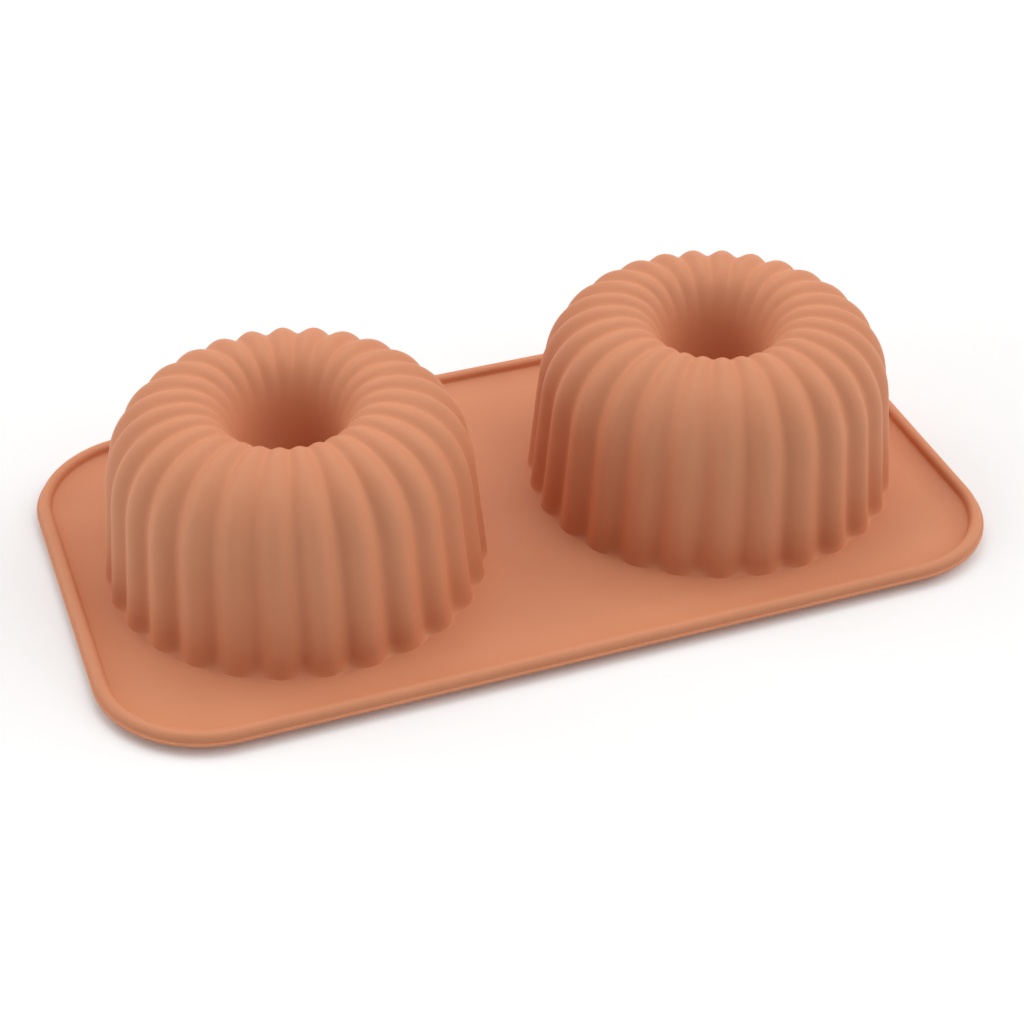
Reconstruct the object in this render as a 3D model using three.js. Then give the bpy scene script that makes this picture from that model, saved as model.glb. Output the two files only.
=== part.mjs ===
// Fluted cake mould of moulded silicone: two ring cups on one flat tray with a beaded rim.
// It lies as it is left to dry, with the cups' crowns up and the tray's mouths on the bench.
// Millimetres, +Z up, origin on the bench under the middle of the tray, +X along the tray.
import * as THREE from 'three';

// Tray
const DECK_THICKNESS = 2;
const CORNER_RADIUS = 35.8;
const END_MARGIN = 14; // from a cup's foot to the tray's short edge
const SIDE_MARGIN = 19.6; // from a cup's foot to the tray's long edge
const CUP_GAP = 21.3; // between the feet of the two cups

// Rim bead, raised on the border of the deck
const BEAD_WIDTH = 6;
const BEAD_HEIGHT = 2.3; // above the deck
const BEAD_OUTER_ROUND = 1.6;
const BEAD_INNER_ROUND = 1;

// Cup, measured over the crests of its flutes
const FOOT_RADIUS = 60;
const WALL_HEIGHT = 33.3; // straight part of the wall, above the deck
const WALL_DRAFT = THREE.MathUtils.degToRad(6);
const CUP_HEIGHT = 59.4; // crown above the deck
const APEX_RADIUS = 31.5; // where the crown is highest
const SHOULDER_FULLNESS = 0.58; // 0.55 is a quarter of an ellipse, more is fuller
const SKIN = 2; // thickness of the cups' silicone

// Flutes: round lobes with soft valleys between them, from the foot over the crown into the core
const FLUTE_COUNT = 27;
const FLUTE_DEPTH = 3; // at the foot
const FLUTE_FADE = 1.1; // power by which the depth shrinks to nothing at the core's tip; at 1 evenly
const VALLEY_SOFTNESS = 0.3; // rounds the bottom of a valley; at 0 it is a sharp crease

// Core: the hollow cone in the middle of a cup, closed at its lower tip
const LIP_REACH = 9.2; // how far the crown holds its level before the lip turns down
const LIP_RISE = 8.5; // how far the line of the cone goes on above the throat
const THROAT_RADIUS = 13.5;
const THROAT_DEPTH = 20.4; // below the crown
const TIP_RADIUS = 9;
const TIP_DOME = 4; // how far the closed tip bulges
const TIP_CLEARANCE = 3; // from the bench up to the tip

// Steps of the facets; each step of a corner or a round makes two segments of its arc
const CORNER_STEPS = 5;
const ROUND_STEPS = 2;
const SHOULDER_STEPS = 3;
const CROWN_STEPS = 2;
const LIP_STEPS = 3;
const THROAT_STEPS = 2;
const FUNNEL_STEPS = 2;
const TIP_STEPS = 3;
const CUP_STEPS_PER_FLUTE = 4;
const CORE_STEPS_PER_FLUTE = 2;

// What follows from the driving dimensions
const CUP_PITCH = 2 * FOOT_RADIUS + CUP_GAP;
const TRAY_LENGTH = CUP_PITCH + 2 * (FOOT_RADIUS + END_MARGIN);
const TRAY_WIDTH = 2 * (FOOT_RADIUS + SIDE_MARGIN);
const SHOULDER_RADIUS = FOOT_RADIUS - WALL_HEIGHT * Math.tan(WALL_DRAFT);
const SHOULDER_LEVEL = DECK_THICKNESS + WALL_HEIGHT;
const APEX_LEVEL = DECK_THICKNESS + CUP_HEIGHT;
const THROAT_LEVEL = APEX_LEVEL - THROAT_DEPTH;
const TIP_LEVEL = TIP_CLEARANCE + SKIN + TIP_DOME;
const CORE_TAPER = (THROAT_RADIUS - TIP_RADIUS) / (THROAT_LEVEL - TIP_LEVEL);

// Directions that the outer skin faces, in the plane of its profile
const OUTWARD = 0;
const UPWARD = Math.PI / 2;
const INWARD = Math.PI;

const silicone = () => new THREE.MeshStandardMaterial({ color: 0xc98263, roughness: 0.55, metalness: 0 });

function named(name, geometry) {
  const mesh = new THREE.Mesh(geometry, silicone());
  mesh.name = name;
  return mesh;
}

// Outline of the tray, drawn in by an inset
function trayOutline(inset) {
  const x = TRAY_LENGTH / 2 - CORNER_RADIUS;
  const y = TRAY_WIDTH / 2 - CORNER_RADIUS;
  const radius = CORNER_RADIUS - inset;
  const quarter = Math.PI / 2;
  const outline = new THREE.Shape();
  outline.absarc(x, y, radius, 0, quarter);
  outline.absarc(-x, y, radius, quarter, 2 * quarter);
  outline.absarc(-x, -y, radius, 2 * quarter, 3 * quarter);
  outline.absarc(x, -y, radius, 3 * quarter, 4 * quarter);
  return outline;
}

// How far the skin lies below the crests at an angle round the cup: nothing on a crest, all in a valley
function fluteSink(radius, angle) {
  const rounded = (wave) => Math.hypot(wave, VALLEY_SOFTNESS) - VALLEY_SOFTNESS;
  const lobe = rounded(Math.sin((FLUTE_COUNT * angle) / 2)) / rounded(1);
  const share = Math.max(radius - TIP_RADIUS, 0) / (FOOT_RADIUS - TIP_RADIUS);
  return FLUTE_DEPTH * share ** FLUTE_FADE * (1 - lobe);
}

// Mouth of a cup's cavity through the deck, with the flutes of the wall that stands round it
function cavityMouth(centreX) {
  const count = FLUTE_COUNT * CUP_STEPS_PER_FLUTE;
  const points = [];
  for (let i = 0; i < count; i += 1) {
    const angle = (2 * Math.PI * i) / count;
    const radius = FOOT_RADIUS - SKIN - fluteSink(FOOT_RADIUS, angle);
    points.push(new THREE.Vector2(centreX + radius * Math.sin(angle), -radius * Math.cos(angle)));
  }
  return new THREE.Path(points);
}

function trayDeck() {
  const outline = trayOutline(0);
  outline.holes.push(cavityMouth(-CUP_PITCH / 2), cavityMouth(CUP_PITCH / 2));
  return new THREE.ExtrudeGeometry(outline, {
    depth: DECK_THICKNESS,
    bevelEnabled: false,
    curveSegments: CORNER_STEPS,
  });
}

// Surface through closed rings of equally many points, the last ring joined to the first
function closedLoft(rings) {
  const around = rings[0].length;
  const positions = rings.flat().flatMap((point) => point.toArray());
  const index = [];
  for (let k = 0; k < rings.length; k += 1) {
    const here = k * around;
    const next = ((k + 1) % rings.length) * around;
    for (let i = 0; i < around; i += 1) {
      const j = (i + 1) % around;
      index.push(here + i, here + j, next + j, here + i, next + j, next + i);
    }
  }
  const geometry = new THREE.BufferGeometry();
  geometry.setAttribute('position', new THREE.Float32BufferAttribute(positions, 3));
  geometry.setIndex(index);
  geometry.computeVertexNormals();
  return geometry;
}

// Bead section, x inward from the tray's edge and y up from the deck, carried round the outline
function rimBead() {
  const section = new THREE.Path();
  section.moveTo(0, 0);
  section.absarc(
    BEAD_OUTER_ROUND, BEAD_HEIGHT - BEAD_OUTER_ROUND, BEAD_OUTER_ROUND, Math.PI, Math.PI / 2, true,
  );
  section.absarc(
    BEAD_WIDTH - BEAD_INNER_ROUND, BEAD_HEIGHT - BEAD_INNER_ROUND, BEAD_INNER_ROUND, Math.PI / 2, 0, true,
  );
  section.lineTo(BEAD_WIDTH, 0);
  const rings = section.getPoints(ROUND_STEPS).map((point) => {
    const outline = trayOutline(point.x).getPoints(CORNER_STEPS).slice(0, -1);
    return outline.map(({ x, y }) => new THREE.Vector3(x, y, DECK_THICKNESS + point.y));
  });
  return closedLoft(rings);
}

// Evenly spaced shares from 0 to 1
const shares = (steps) => Array.from({ length: steps + 1 }, (_, i) => i / steps);

const station = (radius, level, facing) => ({ radius, level, facing });

// Stations along a stretch of the profile, square to it between its ends and facing as given there
function stationsAlong(curve, steps, first, last) {
  const stations = shares(steps).map((share) => {
    const point = curve.getPoint(share);
    const along = curve.getTangent(share);
    return station(point.x, point.y, Math.atan2(-along.x, along.y));
  });
  stations[0].facing = first;
  stations[steps].facing = last;
  return stations;
}

// Straight drafted wall from the deck to the shoulder
function wallStations() {
  return [
    station(FOOT_RADIUS, DECK_THICKNESS, OUTWARD),
    station(SHOULDER_RADIUS, SHOULDER_LEVEL, OUTWARD),
  ];
}

// Rounded shoulder and crown, which leave the wall in its own line and level out at the apex
function crownStations() {
  const rise = SHOULDER_FULLNESS * (APEX_LEVEL - SHOULDER_LEVEL);
  const reach = SHOULDER_FULLNESS * (SHOULDER_RADIUS - APEX_RADIUS);
  const curve = new THREE.CubicBezierCurve(
    new THREE.Vector2(SHOULDER_RADIUS, SHOULDER_LEVEL),
    new THREE.Vector2(SHOULDER_RADIUS - rise * Math.tan(WALL_DRAFT), SHOULDER_LEVEL + rise),
    new THREE.Vector2(APEX_RADIUS + reach, APEX_LEVEL),
    new THREE.Vector2(APEX_RADIUS, APEX_LEVEL),
  );
  return stationsAlong(curve, SHOULDER_STEPS + CROWN_STEPS, OUTWARD, UPWARD);
}

// Lip from the apex down to the throat, which it meets in line with the core's cone
function lipStations() {
  const curve = new THREE.CubicBezierCurve(
    new THREE.Vector2(APEX_RADIUS, APEX_LEVEL),
    new THREE.Vector2(APEX_RADIUS - LIP_REACH, APEX_LEVEL),
    new THREE.Vector2(THROAT_RADIUS + LIP_RISE * CORE_TAPER, THROAT_LEVEL + LIP_RISE),
    new THREE.Vector2(THROAT_RADIUS, THROAT_LEVEL),
  );
  return stationsAlong(curve, LIP_STEPS + THROAT_STEPS, UPWARD, INWARD);
}

// Cone of the core from the throat down, then its closed tip in to the axis
function coreStations() {
  const cone = shares(FUNNEL_STEPS).map((share) => {
    const radius = THREE.MathUtils.lerp(THROAT_RADIUS, TIP_RADIUS, share);
    return station(radius, THREE.MathUtils.lerp(THROAT_LEVEL, TIP_LEVEL, share), INWARD);
  });
  const tip = shares(TIP_STEPS).map((share) => {
    const angle = share * UPWARD;
    return station(TIP_RADIUS * Math.cos(angle), TIP_LEVEL - TIP_DOME * Math.sin(angle), INWARD - angle);
  });
  return [...cone, ...tip.slice(1)];
}

// Fluted skin of revolution: the stations are its outer side, and its inner side lies SKIN behind them
function flutedSkin(stations, stepsPerFlute) {
  const outer = stations.map((place) => ({ ...place, behind: 0 }));
  const inner = stations.map((place) => ({ ...place, behind: SKIN })).reverse();
  const loop = [...outer, ...inner, outer[0]];
  const segments = FLUTE_COUNT * stepsPerFlute;
  const profile = loop.map((place) => new THREE.Vector2(place.radius, place.level));
  const geometry = new THREE.LatheGeometry(profile, segments);
  const position = geometry.getAttribute('position');
  for (let i = 0; i < position.count; i += 1) {
    const place = loop[i % loop.length];
    const angle = (2 * Math.PI * Math.floor(i / loop.length)) / segments;
    const sink = place.behind + fluteSink(place.radius, angle);
    const radius = Math.max(place.radius - sink * Math.cos(place.facing), 0);
    const level = place.level - sink * Math.sin(place.facing);
    position.setXYZ(i, radius * Math.sin(angle), level, radius * Math.cos(angle));
  }
  geometry.rotateX(Math.PI / 2);
  geometry.computeVertexNormals();
  return geometry;
}

// A cup in five rings, so that none of them turns through more than about half a right angle
function cup(side, centreX) {
  const crown = crownStations();
  const lip = lipStations();
  const core = [...lip.slice(LIP_STEPS), ...coreStations().slice(1)];
  const group = new THREE.Group();
  group.position.x = centreX;
  group.add(
    named(`${side}_cup_wall`, flutedSkin(wallStations(), CUP_STEPS_PER_FLUTE)),
    named(`${side}_cup_shoulder`, flutedSkin(crown.slice(0, SHOULDER_STEPS + 1), CUP_STEPS_PER_FLUTE)),
    named(`${side}_cup_crown`, flutedSkin(crown.slice(SHOULDER_STEPS), CUP_STEPS_PER_FLUTE)),
    named(`${side}_cup_lip`, flutedSkin(lip.slice(0, LIP_STEPS + 1), CORE_STEPS_PER_FLUTE)),
    named(`${side}_core_funnel`, flutedSkin(core, CORE_STEPS_PER_FLUTE)),
  );
  return group;
}

const mould = new THREE.Group();
mould.add(named('tray_deck', trayDeck()), named('rim_bead', rimBead()));
mould.add(cup('left', -CUP_PITCH / 2), cup('right', CUP_PITCH / 2));

export default mould;
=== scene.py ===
"""Fluted cake mould of terracotta silicone: two ring cups on a beaded tray, crowns up on a white table."""

import math

import bmesh
import bpy
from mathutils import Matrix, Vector
from mathutils.geometry import interpolate_bezier


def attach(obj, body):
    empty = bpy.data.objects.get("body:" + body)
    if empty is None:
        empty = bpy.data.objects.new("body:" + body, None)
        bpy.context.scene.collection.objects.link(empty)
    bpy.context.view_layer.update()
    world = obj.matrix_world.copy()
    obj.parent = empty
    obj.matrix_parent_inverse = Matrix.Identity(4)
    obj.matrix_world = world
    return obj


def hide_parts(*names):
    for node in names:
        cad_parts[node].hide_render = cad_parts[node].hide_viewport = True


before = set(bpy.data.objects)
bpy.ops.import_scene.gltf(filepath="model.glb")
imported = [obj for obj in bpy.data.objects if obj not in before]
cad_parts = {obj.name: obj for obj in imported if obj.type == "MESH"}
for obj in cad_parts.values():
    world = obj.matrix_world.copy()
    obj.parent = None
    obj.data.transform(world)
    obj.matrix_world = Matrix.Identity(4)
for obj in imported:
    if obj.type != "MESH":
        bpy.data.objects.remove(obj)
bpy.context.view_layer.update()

MM = 0.001
QUARTER_ARC = 0.55  # handles of a cubic that draws a quarter of a circle, in radii

# Tray and its rim bead, in millimetres
TRAY_LENGTH = 289.3
TRAY_WIDTH = 159.2
CORNER_RADIUS = 35.8
CORNER_STEPS = 24
DECK = 2.0  # thickness of the sheet
CURL_WIDTH = 8.5  # border inside the bead that curls up from the bench
CURL_RISE = 1.8  # of the deck, at the bead's foot
CURL_STEPS = 6
RIM_LEVEL = 3.0  # underside of the rim above the bench
LIP_HEIGHT = 0.8  # trimmed lip at the foot of the rim's outer face
LIP_STEP = 0.8  # how far it stands out from the face
LIP_ROUND = 0.3
BEAD_WIDTH = 3.5  # without the lip and the lean of its faces
BEAD_LEVEL = 6.4  # top of the bead above the bench
BEAD_OUTER_ROUND = 1.6
BEAD_INNER_ROUND = 1.5
BEAD_DRAFT = 0.3  # lean of its faces
BEAD_CREASE = 0.4  # fillet between the bead and the deck
BEAD_STEPS = 8  # of the bead's rounds
EDGE_STEPS = 4  # of the smaller ones
MOUTH_ROUND = 1.2  # edge of a cavity's mouth on the underside
FLAT_MARGIN = 0.4  # narrow flat border that keeps a rounded edge from shading the sheet beside it

# Cup, measured over the crests of its flutes
CUP_X = 70.65
CUP_SOLIDS = ("cup_wall", "cup_shoulder", "cup_crown", "cup_lip", "core_funnel")
FOOT_RADIUS = 60.0
FOOT_FILLET = 0.15
WALL_DRAFT = math.radians(5.7)
WALL_STEPS = 12  # closer together towards the foot
SHOULDER_LEVEL = 37.1
SHOULDER_FULLNESS = 0.58  # a little fuller than QUARTER_ARC
SHOULDER_STEPS = 24
APEX_RADIUS = 31.2
APEX_LEVEL = 62.8
TURN_REACH = 10.5  # how far the crown holds its level before it turns down into the core
TURN_RISE = 10.0  # how far the line of the cone goes on above the throat
TURN_STEPS = 16
THROAT_RADIUS = 15.3
THROAT_LEVEL = 42.8
TIP_RADIUS = 9.0
TIP_LEVEL = 9.0
TIP_DOME = 4.0
TIP_STEPS = 6  # of the cone down to the tip, and of the dome that closes it
SKIN = 2.0

# Flutes: a valley faces the front of each cup
FLUTES = 27
FLUTE_DEPTH = 2.7  # at the foot; it shrinks with the radius, as a flute's width does
FLUTE_END = 15.5  # radius in the core at which they have died out
FLUTE_FADE = 12.0  # width of the band in which they fade
FOOT_FILL = 0.5  # share of a valley that the corner at the foot fills
FOOT_FILL_HEIGHT = 1.5  # over which that dies away
LOBE_ROUND = 1.4  # radius of a lobe's arc, in half widths of a flute
VALLEY_SOFTNESS = 0.42  # rounds the bottom of a valley, in half widths of a flute; at 0 it is a sharp crease
RING_STEPS = FLUTES * 20  # round a cup

CRISP_ANGLE = math.radians(50)  # past which two faces meet at a real corner
SAME_PLACE = 0.0001  # points closer than this are one

# Finish of the silicone
PIGMENTS = ("#D18B66", "#D9936E")
CLOUD_WIDTH = 25.0  # of the clouds in the pigment
GRAIN_WIDTH = 0.6  # real grit of the die is near 0.1, drawn coarser so that it shows
GRAIN_RELIEF = 0.1

# Table and room
TABLE_REACH = 4000.0  # from its middle to a side
TABLE_LEVEL = -0.1  # a hair below the bench, so that no two faces coincide
TABLE_GLOW = 0.05  # brings it up to the white of the photograph where the camera sees it
ROOM_FILL = 0.02  # light from all round, beside the lamps
WHITE = (1, 1, 1, 1)

# Soft lamps: name, compass angle from +X, height and spread in degrees, and strength
LAMPS = (
    ("right_high", 0, 60, 50, 0.46),
    ("back_right_high", 60, 60, 50, 0.73),
    ("back_left_high", 120, 60, 50, 0.61),
    ("front_right_high", 300, 60, 50, 0.56),
    ("right_side", 0, 33, 40, 0.59),
    ("back_left_side", 135, 33, 40, 0.51),
    ("left_side", 180, 33, 40, 0.37),
    ("front_right_side", 315, 33, 40, 0.45),
    ("left_low", 180, 12, 30, 0.38),
)

# Camera, fitted to the photograph, in millimetres and degrees
LENS = 78.373
SENSOR = 36.0
CAMERA_PLACE = Vector((-194.96, -546.50, 435.11))
CAMERA_TURN = (53.2069, 0.0992, -19.8365)


def srgb(code):
    """Linear RGBA of an sRGB hex colour."""
    channels = [int(code[i:i + 2], 16) / 255 for i in (1, 3, 5)]
    linear = [c / 12.92 if c <= 0.04045 else ((c + 0.055) / 1.055) ** 2.4 for c in channels]
    return (*linear, 1.0)


def add(tree, kind, settings=None, inputs=None):
    """A node with its settings; an input is a value or the socket that it is linked to."""
    node = tree.nodes.new(kind)
    for name, value in (settings or {}).items():
        setattr(node, name, value)
    for name, value in (inputs or {}).items():
        if isinstance(value, bpy.types.NodeSocket):
            tree.links.new(value, node.inputs[name])
        else:
            node.inputs[name].default_value = value
    return node


def moulded_silicone():
    """Compression-moulded silicone rubber: pigmented right through, satin-matt from a fine blasted die."""
    material = bpy.data.materials.new("moulded_silicone")
    material.use_nodes = True
    tree = material.node_tree
    tree.nodes.clear()
    place = add(tree, "ShaderNodeTexCoord").outputs["Object"]
    # Pigment clouds, a shade lighter and darker. A mix node's colours are inputs 6 and 7 and output 2
    clouds = add(tree, "ShaderNodeTexNoise", None, {
        "Vector": place, "Scale": 1 / (CLOUD_WIDTH * MM), "Detail": 2.0,
    })
    pigment = add(tree, "ShaderNodeMix", {"data_type": "RGBA"}, {
        "Factor": clouds.outputs["Fac"], 6: srgb(PIGMENTS[0]), 7: srgb(PIGMENTS[1]),
    })
    # Die grain, in the gloss and in a faint relief
    grain = add(tree, "ShaderNodeTexNoise", None, {
        "Vector": place, "Scale": 1 / (GRAIN_WIDTH * MM), "Detail": 3.0,
    })
    gloss = add(tree, "ShaderNodeMapRange", None, {
        "Value": grain.outputs["Fac"], "From Min": 0.3, "From Max": 0.7, "To Min": 0.52, "To Max": 0.64,
    })
    relief = add(tree, "ShaderNodeBump", None, {
        "Height": grain.outputs["Fac"], "Strength": 0.08, "Distance": GRAIN_RELIEF * MM,
    })
    shader = add(tree, "ShaderNodeBsdfPrincipled", None, {
        "Base Color": pigment.outputs[2],
        "Roughness": gloss.outputs["Result"],
        "Normal": relief.outputs["Normal"],
        "IOR": 1.41,
        "Specular IOR Level": 0.3,
    })
    add(tree, "ShaderNodeOutputMaterial", None, {"Surface": shader.outputs["BSDF"]})
    return material


def piece(name, shape, material, *nodes):
    """A finished piece of the mould from a shape in millimetres, standing for the solids that it replaces."""
    bmesh.ops.scale(shape, vec=(MM, MM, MM), verts=shape.verts)
    mesh = bpy.data.meshes.new(name)
    shape.to_mesh(mesh)
    shape.free()
    mesh.materials.append(material)
    made = bpy.data.objects.new(name, mesh)
    bpy.context.scene.collection.objects.link(made)
    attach(made, "root")
    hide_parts(*nodes)


def lobe(angle):
    """Height of a flute across its width, 0 in a valley and 1 on a crest. The angle starts at the front."""
    turn = FLUTES * angle / math.tau % 1
    rise = math.hypot(1 - abs(2 * turn - 1), VALLEY_SOFTNESS) - VALLEY_SOFTNESS
    away = 1 - rise / (math.hypot(1, VALLEY_SOFTNESS) - VALLEY_SOFTNESS)
    low = math.sqrt(LOBE_ROUND ** 2 - 1)
    return (math.sqrt(LOBE_ROUND ** 2 - away ** 2) - low) / (LOBE_ROUND - low)


def flute_depth(crest):
    """Depth of a valley below a point of the crest line: it fades into the core and fills up at the foot."""
    fade = min(max((crest.x - FLUTE_END) / FLUTE_FADE, 0), 1)
    fill = FOOT_FILL * math.exp((DECK - crest.y) / FOOT_FILL_HEIGHT)
    return FLUTE_DEPTH * crest.x / FOOT_RADIUS * fade ** 2 * (3 - 2 * fade) * (1 - fill)


def bend(start, leave, arrive, end, steps):
    """Points of a cubic after its start; leave and arrive are its handles, as steps from the two ends."""
    knots = (start, start + leave, end + arrive, end)
    return [point.to_2d() for point in interpolate_bezier(*(k.to_3d() for k in knots), steps + 1)][1:]


def crest_line():
    """Profile over a crest as (radius, level): the foot's fillet, then the skin from the wall to the tip."""
    up = Vector((-math.tan(WALL_DRAFT), 1))
    shoulder = Vector((FOOT_RADIUS, DECK)) + up * (SHOULDER_LEVEL - DECK)
    apex = Vector((APEX_RADIUS, APEX_LEVEL))
    throat = Vector((THROAT_RADIUS, THROAT_LEVEL))
    tip = Vector((TIP_RADIUS, TIP_LEVEL))
    down = (tip - throat) / (THROAT_LEVEL - TIP_LEVEL)
    end = Vector((0, TIP_LEVEL - TIP_DOME))
    spread = Vector((FOOT_RADIUS + FOOT_FILLET, DECK))
    foot = Vector((FOOT_RADIUS, DECK)) + up * FOOT_FILLET
    easing = QUARTER_ARC * FOOT_FILLET
    fillet = [spread] + bend(spread, Vector((-easing, 0)), up * -easing, foot, EDGE_STEPS)
    skin = [foot.lerp(shoulder, (i / WALL_STEPS) ** 2) for i in range(1, WALL_STEPS + 1)]
    rise = SHOULDER_FULLNESS * (APEX_LEVEL - SHOULDER_LEVEL)
    reach = SHOULDER_FULLNESS * (shoulder.x - APEX_RADIUS)
    skin += bend(shoulder, up * rise, Vector((reach, 0)), apex, SHOULDER_STEPS)
    skin += bend(apex, Vector((-TURN_REACH, 0)), down * -TURN_RISE, throat, TURN_STEPS)
    skin += [throat.lerp(tip, i / TIP_STEPS) for i in range(1, TIP_STEPS + 1)]
    skin += bend(tip, down * TIP_DOME / 2, Vector((TIP_RADIUS / 2, 0)), end, TIP_STEPS)
    return fillet, skin


def fluted_cup(centre_x):
    """One cup: its fluted skin of even thickness, outside and in the cavity, standing on the deck."""
    fillet, skin = crest_line()
    shape = bmesh.new()
    depth = shape.verts.layers.float.new("depth")
    facing = shape.verts.layers.float.new("facing")

    def station(point, crest, angle):
        vert = shape.verts.new((0, -point.x, point.y))
        vert[depth] = flute_depth(crest)
        vert[facing] = angle
        return vert

    ring = fillet + skin
    outer = [station(point, point, 0) for point in fillet]
    inner = [station(Vector((FOOT_RADIUS - SKIN, DECK)), Vector((FOOT_RADIUS, DECK)), 0)]
    for i in range(len(fillet), len(ring)):
        along = ring[min(i + 1, len(ring) - 1)] - ring[i - 1]
        if i == len(ring) - 1:
            along = Vector((-1, 0))
        angle = math.atan2(-along.x, along.y)
        outward = Vector((math.cos(angle), math.sin(angle)))
        outer.append(station(ring[i], ring[i], angle))
        inner.append(station(ring[i] - outward * SKIN, ring[i], angle))
    chain = outer[::-1] + inner
    edges = [shape.edges.new(pair) for pair in zip(chain, chain[1:])]
    bmesh.ops.spin(
        shape, geom=chain + edges, cent=(0, 0, 0), axis=(0, 0, 1), angle=math.tau, steps=RING_STEPS,
        use_merge=True,
    )
    bmesh.ops.remove_doubles(shape, verts=shape.verts, dist=SAME_PLACE)
    for vert in shape.verts:
        angle = math.atan2(vert.co.x, -vert.co.y)
        sink = vert[depth] * (1 - lobe(angle))
        away = Vector((math.sin(angle), -math.cos(angle), 0))
        vert.co -= (away * math.cos(vert[facing]) + Vector((0, 0, math.sin(vert[facing])))) * sink
    bmesh.ops.translate(shape, vec=(centre_x, 0, 0), verts=shape.verts)
    bmesh.ops.recalc_face_normals(shape, faces=shape.faces)
    soften(shape)
    return shape


def soften(shape):
    """Smooth faces, with a crisp edge only where two of them meet at a real corner."""
    for face in shape.faces:
        face.smooth = True
    for edge in shape.edges:
        edge.smooth = edge.calc_face_angle(0) < CRISP_ANGLE


def ring_edges(verts):
    """Edges of a closed ring of vertices."""
    inside = set(verts)
    return list({e for v in verts for e in v.link_edges if e.other_vert(v) in inside})


def mouth_ring(shape, centre_x, spread, level):
    """Fluted ring of a cavity's mouth, spread out from the inner face of the wall."""
    depth = flute_depth(Vector((FOOT_RADIUS, DECK)))
    radius = FOOT_RADIUS - SKIN + spread
    verts = bmesh.ops.create_circle(shape, segments=RING_STEPS, radius=radius)["verts"]
    for vert in verts:
        angle = math.atan2(vert.co.x, -vert.co.y)
        away = Vector((math.sin(angle), -math.cos(angle), 0))
        vert.co -= away * depth * (1 - lobe(angle))
    bmesh.ops.translate(shape, vec=(centre_x, 0, level), verts=verts)
    return ring_edges(verts)


def beaded_tray():
    """The deck with its two fluted mouths and the bead round its border."""
    shape = bmesh.new()
    bmesh.ops.create_grid(shape, x_segments=1, y_segments=1, size=0.5)
    bmesh.ops.scale(shape, vec=(TRAY_LENGTH, TRAY_WIDTH, 1), verts=shape.verts)
    bmesh.ops.bevel(
        shape, geom=shape.verts[:], offset=CORNER_RADIUS, segments=CORNER_STEPS, profile=0.5,
        affect="VERTICES", material=-1,
    )
    under = list(shape.faces)[0]
    lifted = bmesh.ops.extrude_face_region(shape, geom=[under], use_keep_orig=True)["geom"]
    top = [part for part in lifted if isinstance(part, bmesh.types.BMFace)][0]
    bmesh.ops.translate(shape, vec=(0, 0, LIP_HEIGHT), verts=top.verts)
    bmesh.ops.translate(shape, vec=(0, 0, RIM_LEVEL), verts=shape.verts)
    bmesh.ops.recalc_face_normals(shape, faces=shape.faces)
    rounds = [(list(face.edges), LIP_ROUND, EDGE_STEPS) for face in (under, top)]
    rim = (
        (LIP_STEP, 0, LIP_ROUND, EDGE_STEPS),
        (BEAD_DRAFT, BEAD_LEVEL - RIM_LEVEL - LIP_HEIGHT, BEAD_OUTER_ROUND, BEAD_STEPS),
        (BEAD_WIDTH, 0, BEAD_INNER_ROUND, BEAD_STEPS),
        (BEAD_DRAFT, DECK + CURL_RISE - BEAD_LEVEL, BEAD_CREASE, EDGE_STEPS),
    )
    for inset, climb, offset, segments in rim:
        bmesh.ops.inset_region(shape, faces=[top], thickness=inset, depth=climb, use_even_offset=True)
        rounds.append((list(top.edges), offset, segments))
    rim_width = sum(inset for inset, *_ in rim)
    for i in range(CURL_STEPS):
        share = (1 - i / CURL_STEPS) ** 2 - (1 - (i + 1) / CURL_STEPS) ** 2
        for face, width, fall in ((top, CURL_WIDTH, -CURL_RISE), (under, rim_width + CURL_WIDTH, RIM_LEVEL)):
            bmesh.ops.inset_region(
                shape, faces=[face], thickness=width / CURL_STEPS, depth=fall * share, use_even_offset=True,
            )
    for edges, offset, segments in rounds:
        bmesh.ops.bevel(
            shape, geom=edges, offset=offset, segments=segments, profile=0.5, affect="EDGES", material=-1,
        )
    sheets = sorted(shape.faces, key=lambda face: face.calc_area())[-2:]
    bmesh.ops.inset_individual(shape, faces=sheets, thickness=FLAT_MARGIN, use_even_offset=True)
    sheets.sort(key=lambda face: face.calc_center_median().z)
    bench_border, deck_border = (list(face.edges) for face in sheets)
    bmesh.ops.delete(shape, geom=sheets, context="FACES_ONLY")
    # Mouths of the cavities, from the deck's top down to the bench, as (spread, level)
    turns = [math.pi / 2 * i / EDGE_STEPS for i in range(EDGE_STEPS + 1)]
    sections = [(0, DECK)]
    sections += [(MOUTH_ROUND * (1 - math.cos(turn)), MOUTH_ROUND * (1 - math.sin(turn))) for turn in turns]
    sections += [(MOUTH_ROUND + FLAT_MARGIN, 0)]
    for centre_x in (-CUP_X, CUP_X):
        rings = [mouth_ring(shape, centre_x, *section) for section in sections]
        for pair in zip(rings, rings[1:]):
            bmesh.ops.bridge_loops(shape, edges=pair[0] + pair[1])
        deck_border += rings[0]
        bench_border += rings[-1]
    for edges in (bench_border, deck_border):
        bmesh.ops.triangle_fill(shape, edges=edges, use_beauty=True)
    bmesh.ops.recalc_face_normals(shape, faces=shape.faces)
    soften(shape)
    return shape


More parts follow.
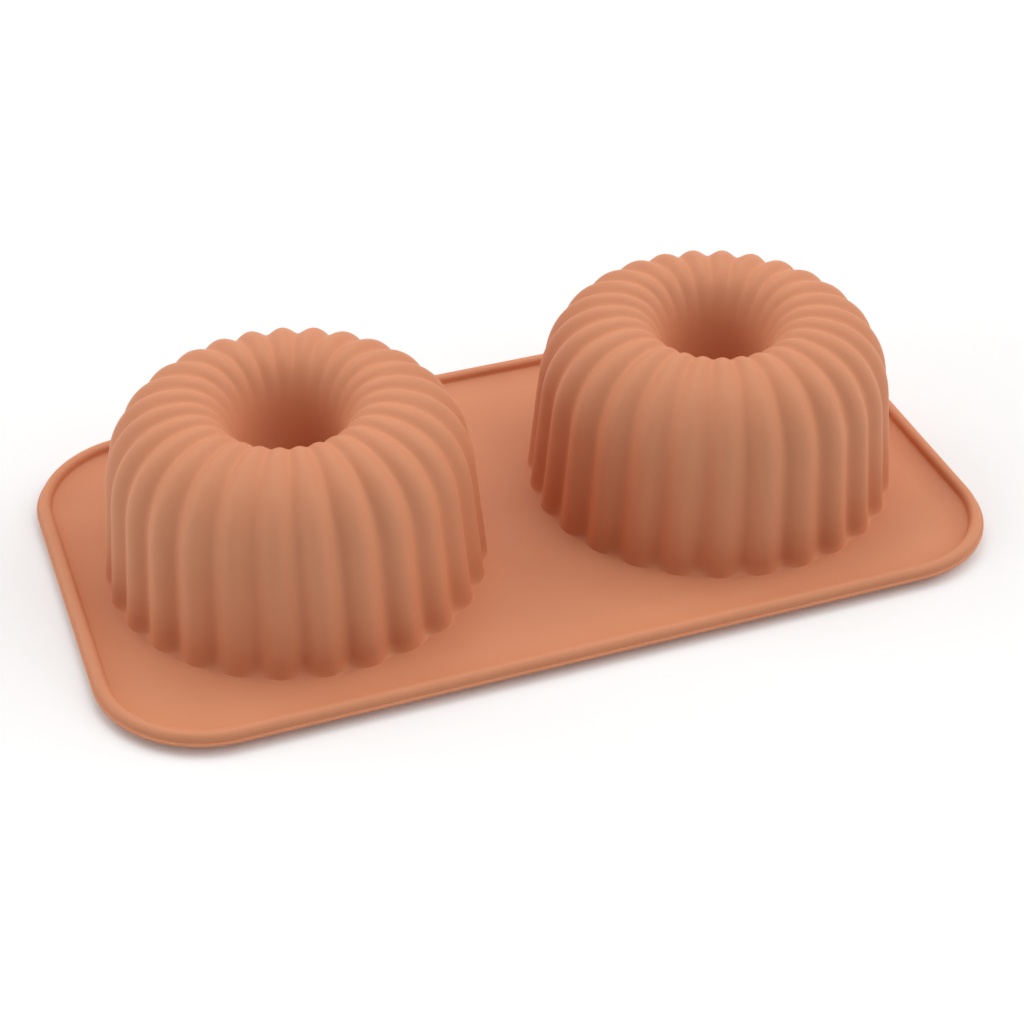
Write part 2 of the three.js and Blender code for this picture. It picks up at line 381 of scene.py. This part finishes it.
def studio():
    """White table in a pale room, under soft lamps from above and from the sides."""
    shape = bmesh.new()
    bmesh.ops.create_grid(shape, x_segments=1, y_segments=1, size=TABLE_REACH * MM)
    bmesh.ops.translate(shape, vec=(0, 0, TABLE_LEVEL * MM), verts=shape.verts)
    mesh = bpy.data.meshes.new("table")
    shape.to_mesh(mesh)
    shape.free()
    table = bpy.data.objects.new("table", mesh)
    bpy.context.scene.collection.objects.link(table)

    paint = bpy.data.materials.new("white_table")
    paint.use_nodes = True
    tree = paint.node_tree
    tree.nodes.clear()
    seen = seen_rays(tree)
    matt = add(tree, "ShaderNodeBsdfDiffuse", None, {"Color": srgb("#F8F8F8")})
    glow = add(tree, "ShaderNodeEmission", None, {"Color": WHITE, "Strength": TABLE_GLOW})
    lit = add(tree, "ShaderNodeAddShader", None, {0: matt.outputs["BSDF"], 1: glow.outputs["Emission"]})
    surface = add(tree, "ShaderNodeMixShader", None, {
        0: seen, 1: matt.outputs["BSDF"], 2: lit.outputs["Shader"],
    })
    add(tree, "ShaderNodeOutputMaterial", None, {"Surface": surface.outputs["Shader"]})
    mesh.materials.append(paint)

    world = bpy.data.worlds.new("white_room")
    world.use_nodes = True
    tree = world.node_tree
    tree.nodes.clear()
    fill = add(tree, "ShaderNodeBackground", None, {"Color": WHITE, "Strength": ROOM_FILL})
    backdrop = add(tree, "ShaderNodeBackground", None, {"Color": WHITE, "Strength": 1.0})
    view = add(tree, "ShaderNodeMixShader", None, {
        0: seen_rays(tree), 1: fill.outputs["Background"], 2: backdrop.outputs["Background"],
    })
    add(tree, "ShaderNodeOutputWorld", None, {"Surface": view.outputs["Shader"]})
    bpy.context.scene.world = world

    for name, compass, height, spread, strength in LAMPS:
        light = bpy.data.lights.new(name, "SUN")
        light.angle = math.radians(spread)
        light.energy = strength
        lamp = bpy.data.objects.new(name, light)
        lamp.rotation_euler = (math.radians(90 - height), 0, math.radians(90 + compass))
        bpy.context.scene.collection.objects.link(lamp)


def seen_rays(tree):
    """1 for rays that show the white room itself: straight to the camera, mirrored or through."""
    path = add(tree, "ShaderNodeLightPath")
    straight = add(tree, "ShaderNodeMath", {"operation": "ADD"}, {
        0: path.outputs["Is Camera Ray"], 1: path.outputs["Is Glossy Ray"],
    })
    either = add(tree, "ShaderNodeMath", {"operation": "ADD", "use_clamp": True}, {
        0: straight.outputs["Value"], 1: path.outputs["Is Transmission Ray"],
    })
    return either.outputs["Value"]


def viewpoint():
    """The photograph's camera."""
    lens = bpy.data.cameras.new("viewpoint")
    lens.lens = LENS
    lens.sensor_width = SENSOR
    camera = bpy.data.objects.new("viewpoint", lens)
    camera.location = CAMERA_PLACE * MM
    camera.rotation_euler = [math.radians(angle) for angle in CAMERA_TURN]
    bpy.context.scene.collection.objects.link(camera)
    bpy.context.scene.camera = camera


viewpoint()
studio()
silicone = moulded_silicone()
piece("tray", beaded_tray(), silicone, "tray_deck", "rim_bead")
for side, centre_x in (("left", -CUP_X), ("right", CUP_X)):
    solids = [f"{side}_{solid}" for solid in CUP_SOLIDS]
    piece(f"{side}_cup", fluted_cup(centre_x), silicone, *solids)
bpy.context.scene.view_settings.view_transform = "Standard"
